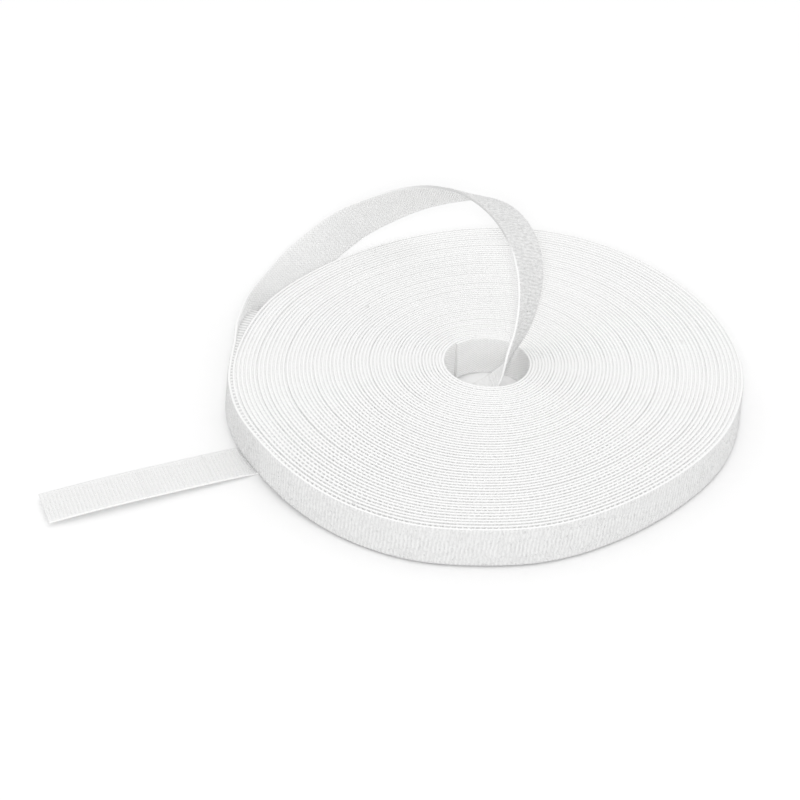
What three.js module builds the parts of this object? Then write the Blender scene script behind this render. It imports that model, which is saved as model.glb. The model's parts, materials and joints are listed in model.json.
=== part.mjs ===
// Hook and loop tape roll. A double-sided tape, a hook ribbon and a loop ribbon bonded back to back,
// is wound flat into a roll with no core. Its outer end is led off the rim, arches over the roll,
// drops through the bore, runs under the roll and comes out as a flat tail.
// Millimetres, +Z up. The model is laid out about the roll's axis, on the plane z = 0.
import * as THREE from 'three';
import { mergeVertices } from 'three/addons/utils/BufferGeometryUtils.js';

// Tape
const tapeWidth = 20;
const hookPly = 0.4;
const loopPly = 0.4;
const bondGap = 0.3;
const tapeThickness = hookPly + bondGap + loopPly;

// Roll: the turns lie closer at the bore than at the rim, with the pile between them, and the bore
// sits a little off the middle of the rim
const boreRadius = 18.8;
const boreShift = new THREE.Vector3(2.4, -1.6, 0);
const wholeTurns = 57;
const innerEndAngle = 143;
const outerEndAngle = 214;
const pileAtBore = 0.32;
const pileAtRim = 0.77;
const coreTurns = 34;
const stepsPerTurn = 36;
const coreRings = 5;

// Free run
const joinGap = 0.3;
const bedGap = 0.3;
const routeStep = 8;
const exitAngle = 207.2;
const tailAngle = 203.25;
const hingeOut = 4.5;
const tailSegments = { tail_root: 29, tail_mid: 30, tail_tip: 29 };

// The rim is not quite round: how far it stands outside a true turn, by angle. The wander fades
// towards the bore with this power of the way in.
const rimWander = [
  [0, 3.4], [20, 2], [40, 0.6], [72, 0.2], [90, -2.6], [105, -5.4], [122, -7.5], [140, -6.3],
  [157, -3.2], [172, -1.9], [188, 0], [200, 0.5], [214, -0.3], [232, 0.4], [256, 1.7], [271, 0.7],
  [284, 1.5], [305, 0.3], [320, 0.7], [338, 2.2],
];
const wanderFade = 1.5;

// Rise of the turns that lie over the strap
const liftFlat = 12;
const liftRun = 48;
const liftStart = -30;
const liftFull = 10;

const turns = wholeTurns + ((innerEndAngle - outerEndAngle + 360) % 360) / 360;
const pitchAtBore = tapeThickness + pileAtBore;
const pitchAtRim = tapeThickness + pileAtRim;
const rimRadius = turnRadius(turns);
const radians = THREE.MathUtils.degToRad;

// Middle of the tape's thickness after a number of turns from the inner end
function turnRadius(turn) {
  const growth = (pitchAtRim - pitchAtBore) / turns;
  return boreRadius + tapeThickness / 2 + pitchAtBore * turn + (growth * turn * turn) / 2;
}

function polar(radius, angle, z) {
  return new THREE.Vector3(radius * Math.cos(radians(angle)), radius * Math.sin(radians(angle)), z);
}

// The rim's wander at any angle: a smooth curve through the places where it is given
function wander(angle) {
  const count = rimWander.length;
  const place = (i) => {
    const [at, out] = rimWander[(i + count) % count];
    return [at + 360 * Math.floor(i / count), out];
  };
  const around = ((angle % 360) + 360) % 360;
  const i = rimWander.findLastIndex(([at]) => at <= around);
  const slope = (k) => (place(k + 1)[1] - place(k - 1)[1]) / (place(k + 1)[0] - place(k - 1)[0]);
  const [start, from] = place(i);
  const [end, to] = place(i + 1);
  const width = end - start;
  const t = (around - start) / width;
  const eased = t * t * (3 - 2 * t);
  const bends = t * (1 - t) * ((1 - t) * slope(i) - t * slope(i + 1));
  return from + (to - from) * eased + width * bends;
}

// A point of the wound roll: the turns' middle drifts from the bore's to the rim's, and the turns
// take on the rim's wander on the way out
function rollPoint(radius, angle, z) {
  const share = Math.max(0, (radius - boreRadius) / (rimRadius - boreRadius));
  const out = wander(angle) * share ** wanderFade;
  return polar(radius + out, angle, z).addScaledVector(boreShift, 1 - share);
}

// The turns rise over the strap, which runs from the bore to its exit under the rim
const strapStart = new THREE.Vector3(-10, -8.8, tapeThickness / 2);
const strapExit = polar(rimRadius, exitAngle, tapeThickness / 2);
const strapLine = strapExit.clone().sub(strapStart).normalize();

function liftOverStrap(x, y) {
  const along = x * strapLine.x + y * strapLine.y;
  const across = Math.abs((x - strapStart.x) * strapLine.y - (y - strapStart.y) * strapLine.x);
  const flat = tapeWidth / 2 + liftFlat;
  const beside = 1 - THREE.MathUtils.smoothstep(across, flat, flat + liftRun);
  const behind = THREE.MathUtils.smoothstep(along, liftStart, liftFull);
  return (tapeThickness + bedGap) * beside * behind;
}

// A closed strip skinned over rings of corners, each ring counter-clockwise about the way it runs.
// Its two faces are split along the same diagonals, so that plies stay parallel where they twist.
function strip(rings) {
  const corners = rings[0].length;
  const index = [];
  for (let ring = 0; ring + 1 < rings.length; ring++) {
    for (let corner = 0; corner < corners; corner++) {
      const a = ring * corners + corner;
      const b = ring * corners + ((corner + 1) % corners);
      const [c, d] = [b + corners, a + corners];
      if (corner < corners / 2) index.push(a, b, c, a, c, d);
      else index.push(a, b, d, b, c, d);
    }
  }
  const last = (rings.length - 1) * corners;
  for (let corner = 1; corner + 1 < corners; corner++) {
    index.push(0, corner + 1, corner, last, last + corner, last + corner + 1);
  }
  return indexed(rings.flat(), index);
}

function indexed(points, index) {
  const geometry = new THREE.BufferGeometry().setFromPoints(points);
  geometry.setIndex(index);
  geometry.computeVertexNormals();
  return geometry;
}

// One tape section: half a width to each edge, from the loop side (low) to the hook side (high)
function section(frame, low, high) {
  const corner = (across, up) => frame.at.clone()
    .addScaledVector(frame.edge, across)
    .addScaledVector(frame.hookSide, up);
  const half = tapeWidth / 2;
  return [corner(-half, low), corner(half, low), corner(half, high), corner(-half, high)];
}

// Sections are square to the tape: along it, across it to the edge that is uppermost in the roll,
// and out of its hook face, which looks at the roll's axis
function tapeFrame(at, along, towardsEdge) {
  const edge = towardsEdge.clone().addScaledVector(along, -along.dot(towardsEdge)).normalize();
  return { at, edge, hookSide: along.clone().cross(edge) };
}

// Inner turns: one plain ring whose bore wall and outer wall are each a turn of the spiral, so that
// both keep the step where a turn begins or ends
function coreGeometry() {
  const innerCircle = turnRadius(1) - tapeThickness / 2;
  const outerCircle = turnRadius(coreTurns - 1) + tapeThickness / 2;
  const points = [];
  for (let step = 0; step <= stepsPerTurn; step++) {
    const turn = step / stepsPerTurn;
    const angle = innerEndAngle - 360 * turn;
    const radii = [turnRadius(turn) - tapeThickness / 2];
    for (let ring = 0; ring <= coreRings; ring++) {
      radii.push(THREE.MathUtils.lerp(innerCircle, outerCircle, ring / coreRings));
    }
    radii.push(turnRadius(coreTurns - 1 + turn) + tapeThickness / 2);
    for (const radius of radii) {
      const low = rollPoint(radius, angle, 0);
      low.z = liftOverStrap(low.x, low.y);
      points.push(low, low.clone().setZ(low.z + tapeWidth));
    }
  }
  const outermost = coreRings + 2;
  const low = (step, ring) => 2 * (step * (outermost + 1) + ring);
  const high = (step, ring) => low(step, ring) + 1;
  const index = [];
  const quad = (a, b, c, d) => index.push(a, b, c, a, c, d);
  for (let step = 0; step < stepsPerTurn; step++) {
    const next = step + 1;
    for (let ring = 0; ring < outermost; ring++) {
      quad(high(step, ring), high(next, ring), high(next, ring + 1), high(step, ring + 1));
      quad(low(step, ring), low(step, ring + 1), low(next, ring + 1), low(next, ring));
    }
    quad(low(step, 0), low(next, 0), high(next, 0), high(step, 0));
    quad(low(step, outermost), high(step, outermost), high(next, outermost), low(next, outermost));
  }
  quad(low(0, 1), low(0, 0), high(0, 0), high(0, 1));
  const end = stepsPerTurn;
  const step = outermost - 1;
  quad(low(end, step), low(end, outermost), high(end, outermost), high(end, step));
  return withoutSlivers(mergeVertices(indexed(points, index).deleteAttribute('normal'), 1e-4));
}

// Where the spiral runs into a circle its quads close to a point; those empty triangles go
function withoutSlivers(geometry) {
  const index = geometry.getIndex().array;
  const kept = [];
  for (let i = 0; i < index.length; i += 3) {
    const [a, b, c] = index.slice(i, i + 3);
    if (a !== b && b !== c && c !== a) kept.push(a, b, c);
  }
  geometry.setIndex(kept);
  geometry.computeVertexNormals();
  return geometry;
}

// Outer turns: one unbroken ribbon from the end of the core's last turn to where the tape leads off
function windingFrames() {
  const first = coreTurns + joinGap / (2 * Math.PI * turnRadius(coreTurns));
  const last = turns - joinGap / (2 * Math.PI * rimRadius);
  const count = Math.round((last - first) * stepsPerTurn);
  const frames = [];
  for (let step = 0; step <= count; step++) {
    const turn = THREE.MathUtils.lerp(first, last, step / count);
    const angle = innerEndAngle - 360 * turn;
    const at = rollPoint(turnRadius(turn), angle, 0);
    at.z = tapeWidth / 2 + liftOverStrap(at.x, at.y);
    frames.push(tapeFrame(at, polar(1, angle - 90, 0), new THREE.Vector3(0, 0, 1)));
  }
  return frames;
}

// Least clear distance between turns, on the points of the winding
function leastGap(frames) {
  let least = Infinity;
  for (let i = 0; i < frames.length; i++) {
    for (let j = i + stepsPerTurn / 2; j < frames.length; j++) {
      least = Math.min(least, frames[i].at.distanceTo(frames[j].at));
    }
  }
  return least - tapeThickness;
}

// The free run's route: a point on the tape's middle and the way to the edge uppermost in the roll.
// Points at the rim stand off the last turn, points over the roll stand on its top, and points in
// the bore are shares of its radius, so that the tape keeps clear of what it passes.
function atRim(angle, out, up, edge) {
  const at = polar(rimRadius + wander(angle) + out, angle, 0);
  at.z = tapeWidth / 2 + liftOverStrap(at.x, at.y) + up;
  return { at, edge: new THREE.Vector3(...edge) };
}

function overRoll(x, y, up, edge) {
  return { at: new THREE.Vector3(x, y, tapeWidth + up), edge: new THREE.Vector3(...edge) };
}

function inBore(x, y, z, edge) {
  const at = new THREE.Vector3(x * boreRadius, y * boreRadius, z).add(boreShift);
  return { at, edge: new THREE.Vector3(...edge) };
}

function onFloor(at) {
  return { at, edge: new THREE.Vector3(-strapLine.y, strapLine.x, 0) };
}

const leadOff = [
  atRim(214, 0, 0, [0, 0, 1]),
  atRim(202, 1, 0.1, [0.02, 0, 1]),
  atRim(191, 1.6, 0.1, [0.06, 0.01, 1]),
  atRim(182, 1.4, 0.1, [0.1, 0, 1]),
  atRim(175, 1.6, 0.1, [0.07, 0, 1]),
  atRim(167, 3.6, 0.1, [-0.06, 0.02, 1]),
  atRim(157, 7.2, 0.1, [-0.2, 0.07, 0.98]),
  atRim(146, 12.2, -0.4, [-0.44, 0.19, 0.88]),
  atRim(141, 15.6, -0.4, [-0.54, 0.22, 0.81]),
  atRim(136, 18.4, 0.8, [-0.6, 0.22, 0.77]),
];
const arch = [
  atRim(131, 19.4, 4.3, [-0.6, 0.18, 0.78]),
  atRim(126.5, 17.8, 10.2, [-0.6, 0.09, 0.79]),
  atRim(123, 13.4, 17, [-0.61, -0.03, 0.79]),
  overRoll(-56, 99.4, 14.2, [-0.64, -0.13, 0.76]),
  overRoll(-39, 91.2, 27.4, [-0.67, -0.25, 0.7]),
  overRoll(-22.6, 79.5, 38.9, [-0.7, -0.34, 0.63]),
  overRoll(-7.2, 65, 47.8, [-0.74, -0.46, 0.49]),
  overRoll(0.2, 56.4, 50.4, [-0.75, -0.53, 0.41]),
  overRoll(7.2, 47.1, 50.8, [-0.74, -0.56, 0.37]),
  overRoll(13.3, 37.6, 48.6, [-0.72, -0.58, 0.38]),
  overRoll(18, 28.5, 43.4, [-0.67, -0.61, 0.42]),
  overRoll(20.4, 20.3, 35.5, [-0.58, -0.66, 0.47]),
  overRoll(20.3, 13.4, 25.7, [-0.47, -0.74, 0.49]),
];
const boreLeg = [
  overRoll(18, 7.8, 15.2, [-0.35, -0.8, 0.48]),
  overRoll(13.8, 3, 5.2, [-0.23, -0.87, 0.43]),
  inBore(0.38, 0.09, 16, [-0.06, -0.93, 0.36]),
  inBore(0.1, -0.05, 8.2, [0.17, -0.95, 0.24]),
  inBore(-0.3, -0.22, 2.3, [0.37, -0.93, 0.05]),
];
const underStrap = [
  onFloor(strapStart),
  onFloor(new THREE.Vector3(-40, -23.7, tapeThickness / 2)),
  onFloor(new THREE.Vector3(-72, -38.6, tapeThickness / 2)),
  onFloor(strapExit),
];
const tailWay = polar(1, tailAngle, 0);
const tailEdge = new THREE.Vector3(-tailWay.y, tailWay.x, 0);
const tailStart = strapExit.clone().addScaledVector(tailWay, hingeOut);
const tailLength = Object.values(tailSegments).reduce((sum, length) => sum + length, 0);

// The route runs on from the last turn before it, so the tape leaves the rim along the turn
const stretches = { lead_off: leadOff, arch, bore_leg: boreLeg, under_strap: underStrap };
const leadIn = atRim(outerEndAngle + 10, 0, 0, [0, 0, 1]);
const tailEnd = { at: tailStart.clone().addScaledVector(tailWay, tailLength), edge: tailEdge };
const rows = [leadIn, ...Object.values(stretches).flat(), { at: tailStart, edge: tailEdge }, tailEnd];
const middle = new THREE.CatmullRomCurve3(rows.map((row) => row.at));
const edges = new THREE.CatmullRomCurve3(rows.map((row) => row.edge), false, 'catmullrom');
const samplesPerRow = 24;

// Tape that has come down to the floor lies flat on it
function routeFrame(share) {
  const at = middle.getPoint(share);
  const along = middle.getTangent(share);
  const edge = edges.getPoint(share);
  if (at.z <= tapeThickness / 2) {
    at.z = tapeThickness / 2;
    along.setZ(0).normalize();
    edge.z = 0;
  }
  return tapeFrame(at, along, edge);
}

// Frames at even steps along the route, from one row to another, short of both by half a join
function stretchFrames(fromRow, toRow) {
  const samples = (toRow - fromRow) * samplesPerRow;
  const shares = [];
  const lengths = [0];
  for (let i = 0; i <= samples; i++) {
    shares.push(THREE.MathUtils.lerp(fromRow, toRow, i / samples) / (rows.length - 1));
    if (i > 0) {
      const moved = middle.getPoint(shares[i]).distanceTo(middle.getPoint(shares[i - 1]));
      lengths.push(lengths[i - 1] + moved);
    }
  }
  const total = lengths[samples] - joinGap;
  const steps = Math.max(1, Math.round(total / routeStep));
  const frames = [];
  for (let step = 0; step <= steps; step++) {
    const length = joinGap / 2 + (total * step) / steps;
    const after = Math.max(1, lengths.findIndex((value) => value >= length));
    const part = (length - lengths[after - 1]) / (lengths[after] - lengths[after - 1]);
    frames.push(routeFrame(THREE.MathUtils.lerp(shares[after - 1], shares[after], part)));
  }
  return frames;
}

// Finishes: the napped loop ribbon is a shade brighter than the hook ribbon
function nylon(color, roughness) {
  return new THREE.MeshStandardMaterial({ color, roughness, metalness: 0 });
}

function addPiece(group, name, geometry, material) {
  const mesh = new THREE.Mesh(geometry, material);
  mesh.name = name;
  group.add(mesh);
}

// Both ribbons of one stretch of tape, back to back across the bond
function addPlies(group, name, frames) {
  const bond = bondGap / 2;
  const hook = frames.map((frame) => section(frame, bond, bond + hookPly));
  const loop = frames.map((frame) => section(frame, -bond - loopPly, -bond));
  addPiece(group, `${name}_hook`, strip(hook), nylon(0xf0f0ee, 0.75));
  addPiece(group, `${name}_loop`, strip(loop), nylon(0xf6f6f4, 0.95));
}

const tapeRoll = new THREE.Group();
const roll = new THREE.Group();
const freeRun = new THREE.Group();
const tail = new THREE.Group();
tapeRoll.add(roll, freeRun, tail);

const winding = windingFrames();
const half = tapeThickness / 2;
addPiece(roll, 'inner_turns', coreGeometry(), nylon(0xf3f3f1, 0.9));
const outerTurns = strip(winding.map((frame) => section(frame, -half, half)));
addPiece(roll, 'outer_turns', outerTurns, nylon(0xf3f3f1, 0.9));

let row = 1;
for (const [name, points] of Object.entries(stretches)) {
  addPlies(freeRun, name, stretchFrames(row, row + points.length));
  row += points.length;
}

let reach = 0;
for (const [name, length] of Object.entries(tailSegments)) {
  const ends = [reach + joinGap / 2, reach + length - joinGap / 2];
  const frames = ends.map((far) => {
    return tapeFrame(tailStart.clone().addScaledVector(tailWay, far), tailWay, tailEdge);
  });
  addPlies(tail, name, frames);
  reach += length;
}

// The part's origin is the middle of its box, on the plane that it lies on
const box = new THREE.Box3().setFromObject(tapeRoll);
const centre = box.getCenter(new THREE.Vector3());
tapeRoll.position.set(-centre.x, -centre.y, -box.min.z);
console.log(`least gap between turns ${leastGap(winding).toFixed(2)} mm`);

export default tapeRoll;
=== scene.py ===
# %% [markdown]
# # A roll of hook and loop tape
# The object is one long white tape: a ribbon covered in tiny hooks and a ribbon covered in soft loops,
# bonded back to back. It is wound flat into a roll with no core. The outer end leaves the rim, arches
# over the roll, drops through the bore, runs under the roll and comes out as a flat tail.
# The frame below holds the solids at their real size. What is made here stands in for them.

# %% Load the frame
import json

import bpy
import numpy as np
from mathutils import Matrix


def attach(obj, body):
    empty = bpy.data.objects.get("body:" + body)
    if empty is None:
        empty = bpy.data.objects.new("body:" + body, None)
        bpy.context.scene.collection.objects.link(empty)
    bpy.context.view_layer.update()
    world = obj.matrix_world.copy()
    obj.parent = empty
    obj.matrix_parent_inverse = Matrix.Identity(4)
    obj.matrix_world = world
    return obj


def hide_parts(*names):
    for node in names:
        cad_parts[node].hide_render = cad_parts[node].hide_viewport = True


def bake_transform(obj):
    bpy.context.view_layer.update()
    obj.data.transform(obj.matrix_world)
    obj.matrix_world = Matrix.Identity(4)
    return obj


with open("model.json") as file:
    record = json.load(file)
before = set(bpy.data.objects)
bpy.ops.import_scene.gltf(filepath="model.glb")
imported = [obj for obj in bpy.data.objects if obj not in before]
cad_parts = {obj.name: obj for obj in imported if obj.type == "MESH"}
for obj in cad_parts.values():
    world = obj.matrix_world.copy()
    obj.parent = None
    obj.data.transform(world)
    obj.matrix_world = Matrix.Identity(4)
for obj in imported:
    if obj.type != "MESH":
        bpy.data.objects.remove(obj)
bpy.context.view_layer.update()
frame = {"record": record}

MM = 0.001

# %% [markdown]
# ## Sizes
# The tape's width, the bore and the number of turns set the whole roll: each turn lies one pitch outside
# the last, and the pitch grows from the bore to the rim, probably because the pile is pressed less there.
# The roll is laid out about its own axis in millimetres, and moved into the frame at the end. The
# hinge of the tail is known in both places, so the difference between them is that move.

# %% Driving sizes, in millimetres
TAPE_WIDTH = 20.0
TAPE_THICKNESS = 1.1
BORE_RADIUS = 18.4
BORE_SHIFT = np.array([2.55, -0.4, 0.0])
INNER_END_ANGLE = 143.0
OUTER_END_ANGLE = 214.0
WHOLE_TURNS = 57
TURNS = WHOLE_TURNS + ((INNER_END_ANGLE - OUTER_END_ANGLE) % 360) / 360
CORE_TURNS = 34
PITCH_AT_BORE = 1.4338
PITCH_AT_RIM = 1.87
EXIT_ANGLE = 207.2
TAIL_ANGLE = 203.25
HINGE_OUT = 4.5
TAIL_LENGTH = 88.0


def turn_radius(turn):
    """Middle of the tape after a number of turns from the bore."""
    growth = (PITCH_AT_RIM - PITCH_AT_BORE) / TURNS
    return BORE_RADIUS + TAPE_THICKNESS / 2 + PITCH_AT_BORE * turn + growth * turn**2 / 2


def polar(radius, angle, z=0.0):
    turned = np.radians(angle)
    return np.stack(np.broadcast_arrays(radius * np.cos(turned), radius * np.sin(turned), z), -1)


# How far the rim stands outside a true turn, by angle: the roll isn't quite round
RIM_WANDER = [
    (0, 3.4), (20, 2), (40, 0.6), (72, 0.2), (90, -2.6), (105, -5.4), (122, -7.5), (140, -6.3),
    (157, -3.2), (172, -1.9), (188, 0), (200, 0.5), (214, 0), (232, 1.1), (256, 2.9), (271, 1.9),
    (284, 2), (305, -0.1), (320, 0.3), (338, 2.7),
]
# The wander fades towards the bore with this power of the way in
WANDER_FADE = 1.5


def wander(angle):
    """The rim's wander at any angle: a smooth curve through the places where it is given."""
    at, out = np.array(RIM_WANDER, float).T
    at = np.concatenate([at[-2:] - 360, at, at[:2] + 360])
    out = np.concatenate([out[-2:], out, out[:2]])
    slope = np.zeros_like(out)
    slope[1:-1] = (out[2:] - out[:-2]) / (at[2:] - at[:-2])
    around = np.asarray(angle, float) % 360
    k = np.searchsorted(at, around, side="right") - 1
    width = at[k + 1] - at[k]
    t = (around - at[k]) / width
    bends = t * (1 - t) * ((1 - t) * slope[k] - t * slope[k + 1])
    return out[k] + (out[k + 1] - out[k]) * t * t * (3 - 2 * t) + width * bends


RIM_RADIUS = turn_radius(TURNS)
STRAP_START = np.array([-10, -8.8, TAPE_THICKNESS / 2])
STRAP_EXIT = polar(RIM_RADIUS, EXIT_ANGLE, TAPE_THICKNESS / 2)
STRAP_WAY = (STRAP_EXIT - STRAP_START) / np.linalg.norm(STRAP_EXIT - STRAP_START)
TAIL_WAY = polar(1.0, TAIL_ANGLE)
TAIL_EDGE = np.array([-TAIL_WAY[1], TAIL_WAY[0], 0.0])
TAIL_START = STRAP_EXIT + HINGE_OUT * TAIL_WAY

hinge = next(j for j in frame["record"]["behaviour"]["joints"] if j["name"] == "tail_lift")
ROLL_AXIS = np.array(hinge["pos_m"]) / MM - TAIL_START
ROLL_AXIS[2] = 0.0
print("rim radius", round(float(RIM_RADIUS), 2), "roll axis at", ROLL_AXIS.round(2))

# %% [markdown]
# ## The camera
# The camera stands where the photograph seems to be taken from: about 0.98 m away, looking 38 degrees
# down. That place was found by fitting the roll's two rims to the photograph.
# It is placed by the directions it looks along, to the right and up, which form its turning matrix.

# %% Camera
CAMERA_AT = np.array([0.0, -774.4, 596.5])
CAMERA_PAN = np.radians(-2.76)
CAMERA_TILT = np.radians(37.73)
CAMERA_LENS = 95.54
SENSOR_WIDTH = 36.0
CLIP_NEAR, CLIP_FAR = 0.05, 50.0

scene = bpy.context.scene
camera = bpy.data.objects.new("camera", bpy.data.cameras.new("camera"))
scene.collection.objects.link(camera)
scene.camera = camera
camera.data.lens = CAMERA_LENS
camera.data.sensor_width = SENSOR_WIDTH
forward = np.array([
    np.sin(CAMERA_PAN) * np.cos(CAMERA_TILT),
    np.cos(CAMERA_PAN) * np.cos(CAMERA_TILT),
    -np.sin(CAMERA_TILT),
])
right = np.array([np.cos(CAMERA_PAN), -np.sin(CAMERA_PAN), 0.0])
turning = Matrix(np.stack([right, np.cross(right, forward), -forward], 1)).to_4x4()
camera.matrix_world = Matrix.Translation((CAMERA_AT + ROLL_AXIS) * MM) @ turning
camera.data.clip_start = CLIP_NEAR
camera.data.clip_end = CLIP_FAR
scene.view_settings.view_transform = "Standard"
print("camera", round(float(np.linalg.norm(CAMERA_AT)) * MM, 2), "m from the foot of the roll's axis")

# %% [markdown]
# ## Shader sums
# A material is a graph of nodes. Writing the sums as Python expressions keeps them readable: the class
# below wraps a socket, and each operator adds one Math node. Any other node comes from one method.

# %% A socket that can be used in sums
IOR = 1.5
SPECULAR = 0.25
UV_TO_MM = 1000.0


class Socket:
    """An output of a node. Sums with it add further nodes to the same graph."""

    def __init__(self, tree, output):
        self.tree = tree
        self.output = output

    def maths(self, operation, *values):
        return self.node("ShaderNodeMath", {"operation": operation}, dict(enumerate(values)))

    def node(self, kind, settings, sockets, output=0):
        made = self.tree.nodes.new(kind)
        for name, value in settings.items():
            setattr(made, name, value)
        for name, value in sockets.items():
            if isinstance(value, Socket):
                self.tree.links.new(value.output, made.inputs[name])
            else:
                made.inputs[name].default_value = value
        return Socket(self.tree, made.outputs[output])

    def __add__(self, other):
        return self.maths("ADD", self, other)

    def __rsub__(self, other):
        return self.maths("SUBTRACT", other, self)

    def __mul__(self, other):
        return self.maths("MULTIPLY", self, other)

    def smooth(self, low, high):
        return self.node(
            "ShaderNodeMapRange",
            {"interpolation_type": "SMOOTHSTEP"},
            {"Value": self, "From Min": low, "From Max": high},
        )


def new_material(name):
    """A material with nothing in it but its output, and a socket to start sums from."""
    made = bpy.data.materials.new(name)
    made.use_nodes = True
    made.node_tree.nodes.clear()
    output = made.node_tree.nodes.new("ShaderNodeOutputMaterial")
    return made, output, Socket(made.node_tree, None)


def principled(blank, base, roughness, height=None, strength=0.0, distance=0.0, sheen=0.0):
    """Finishes a new material: its colour, its roughness and the relief that the mesh is too coarse for."""
    made, output, start = blank
    sockets = {
        "Base Color": base,
        "Roughness": roughness,
        "Sheen Weight": sheen,
        "IOR": IOR,
        "Specular IOR Level": SPECULAR,
    }
    if height is not None:
        sockets["Normal"] = start.node(
            "ShaderNodeBump", {}, {"Height": height, "Strength": strength, "Distance": distance}
        )
    shader = start.node("ShaderNodeBsdfPrincipled", {}, sockets)
    start.tree.links.new(shader.output, output.inputs["Surface"])
    return made


def tape_coordinates(start):
    """Millimetres along the tape and across it, from the tape's own map."""
    place = start.node("ShaderNodeUVMap", {"uv_map": "tape"}, {})
    along = start.node("ShaderNodeSeparateXYZ", {}, {0: place}, 0) * UV_TO_MM
    across = start.node("ShaderNodeSeparateXYZ", {}, {0: place}, 1) * UV_TO_MM
    return along, across


def grain(start, along, across, scale, detail=2.0):
    """Noise on the tape, with its own scale each way."""
    place = start.node("ShaderNodeCombineXYZ", {}, {0: along * scale[0], 1: across * scale[1]})
    return start.node("ShaderNodeTexNoise", {}, {"Vector": place, "Scale": 1.0, "Detail": detail})


def wave(start, place, pitch):
    """A cosine along the tape or across it, from -1 to 1."""
    return start.maths("COSINE", place * (2 * np.pi / pitch))


def mix(start, amount, first, second):
    """A colour between two others, each of them a colour or a socket."""
    return start.node("ShaderNodeMix", {"data_type": "RGBA"}, {0: amount, 6: first, 7: second}, 2)


# %% [markdown]
# ## Finishes
# All of the tape is white nylon, so the finishes differ in relief more than in colour. The hook ribbon
# has crosswise rows of stiff hooks, the loop ribbon a soft nap, and both have a smooth woven selvedge
# along each edge. Their patterns follow the tape through its own map, which counts millimetres along
# and across it.
# Some stretches differ. The nap on the rim is lighter and more even than on the free tape. The lower edge
# of the rim carries a painted contact shadow, and a stretch of one edge of the free tape and the cut inner
# end carry painted shade.
# The ground between the hooks and the pile's holes carry painted shade too. Some stretches of the hook
# face, and the hook face in the bore, are painted lighter as painted light.

# %% Finishes of the tape
RIB_PITCH = 1.72
HOOK_COLUMN = 1.3
WARMTH = 0.003
HOOK_WHITE = 0.98
HOOK_RIB_TONE = 0.08
HOOK_GRAIN_TONE = 0.8
HOOK_TONE_FLOOR = 0.1
HOOK_GRAIN = (2.2, 2.2)
# Stretches of the hook face are painted whiter, as painted light; the whitening fades in and out over these
# lengths
PAINTED_LIGHT_BEFORE = 30.0
PAINTED_LIGHT_AFTER = 25.0
PAINTED_LIGHT_SHARE = 0.7
NAP_WHITE = 0.92
NAP_LEAN = 0.14
NAP_DRIFT = 1.8
NAP_DRIFT_GRAIN = (0.2, 0.3)
NAP_STREAK_GRAIN = (1.3, 0.35)
NAP_FUZZ_GRAIN = (2.0, 1.6)
NAP_FUZZ_TONE = 0.58
NAP_LEVEL = 0.21
NAP_TONES = (0.2, 0.8)
PICK_LEAN = 0.3
# Painted shade on a stretch of an edge fades in and out over these lengths
EDGE_SHADE_BEFORE = 60.0
EDGE_SHADE_AFTER = 15.0
WEAVE_WHITES = (0.96, 0.99)
RIB_WHITE = 0.97
# The pile's ribs are white, and its holes are painted darker as painted shade
HOLE_PAINTED_SHADE = 0.72
HOLE_SHADE_RANGE = (0.1, 0.9)
# The cut end's grey is painted shade, as the end faces away from the light
CUT_END_PAINTED_SHADE = 0.78


def nylon(level):
    """White nylon at a level of grey, a touch warmer than grey itself."""
    return level, level, level - WARMTH, 1.0


def hook_finish(name, shade_and_grain_grey, contrast, painted_light_stretches):
    """Hooks stand in rows, with painted shade on the ground between them. Over the given stretches the face
    is painted whiter, as painted light.
    """
    blank = new_material(name)
    start = blank[2]
    along, across = tape_coordinates(start)
    rib = wave(start, along, RIB_PITCH)
    painted_lattice_shade = rib * wave(start, across, HOOK_COLUMN)
    fine = grain(start, along, across, HOOK_GRAIN)
    # The rows and the lattice are painted shade between the hooks; the grain is a random tone
    tone = painted_lattice_shade * contrast + rib * HOOK_RIB_TONE + fine * HOOK_GRAIN_TONE + HOOK_TONE_FLOOR
    base = mix(start, tone.smooth(0.0, 1.0), nylon(shade_and_grain_grey), nylon(HOOK_WHITE))
    # Over each given stretch the face is painted whiter, as painted light
    for low, high in painted_light_stretches:
        begins = along.smooth(low - PAINTED_LIGHT_BEFORE, low)
        flat = begins * (1.0 - along.smooth(high, high + PAINTED_LIGHT_AFTER)) * PAINTED_LIGHT_SHARE
        base = mix(start, flat, base, nylon(HOOK_WHITE))
    return principled(blank, base, roughness=0.7, height=fine, strength=0.35, distance=0.0003)


def loop_finish(name, regular, streaky, dark):
    """The nap lies in soft rows across the tape, which wander a little under streaks and fuzz."""
    blank = new_material(name)
    start = blank[2]
    along, across = tape_coordinates(start)
    drift = grain(start, along, across, NAP_DRIFT_GRAIN) * NAP_DRIFT
    rows = wave(start, along + across * NAP_LEAN + drift, RIB_PITCH)
    streak = grain(start, along, across, NAP_STREAK_GRAIN, detail=3.0)
    fuzz = grain(start, along, across, NAP_FUZZ_GRAIN, detail=4.0)
    tone = rows * regular + streak * streaky + fuzz * NAP_FUZZ_TONE + (NAP_LEVEL - streaky / 2)
    base = mix(start, tone.smooth(*NAP_TONES), nylon(dark), nylon(NAP_WHITE))
    return principled(
        blank, base, roughness=0.95, height=tone, strength=0.6, distance=0.0004, sheen=0.1
    )


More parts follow.
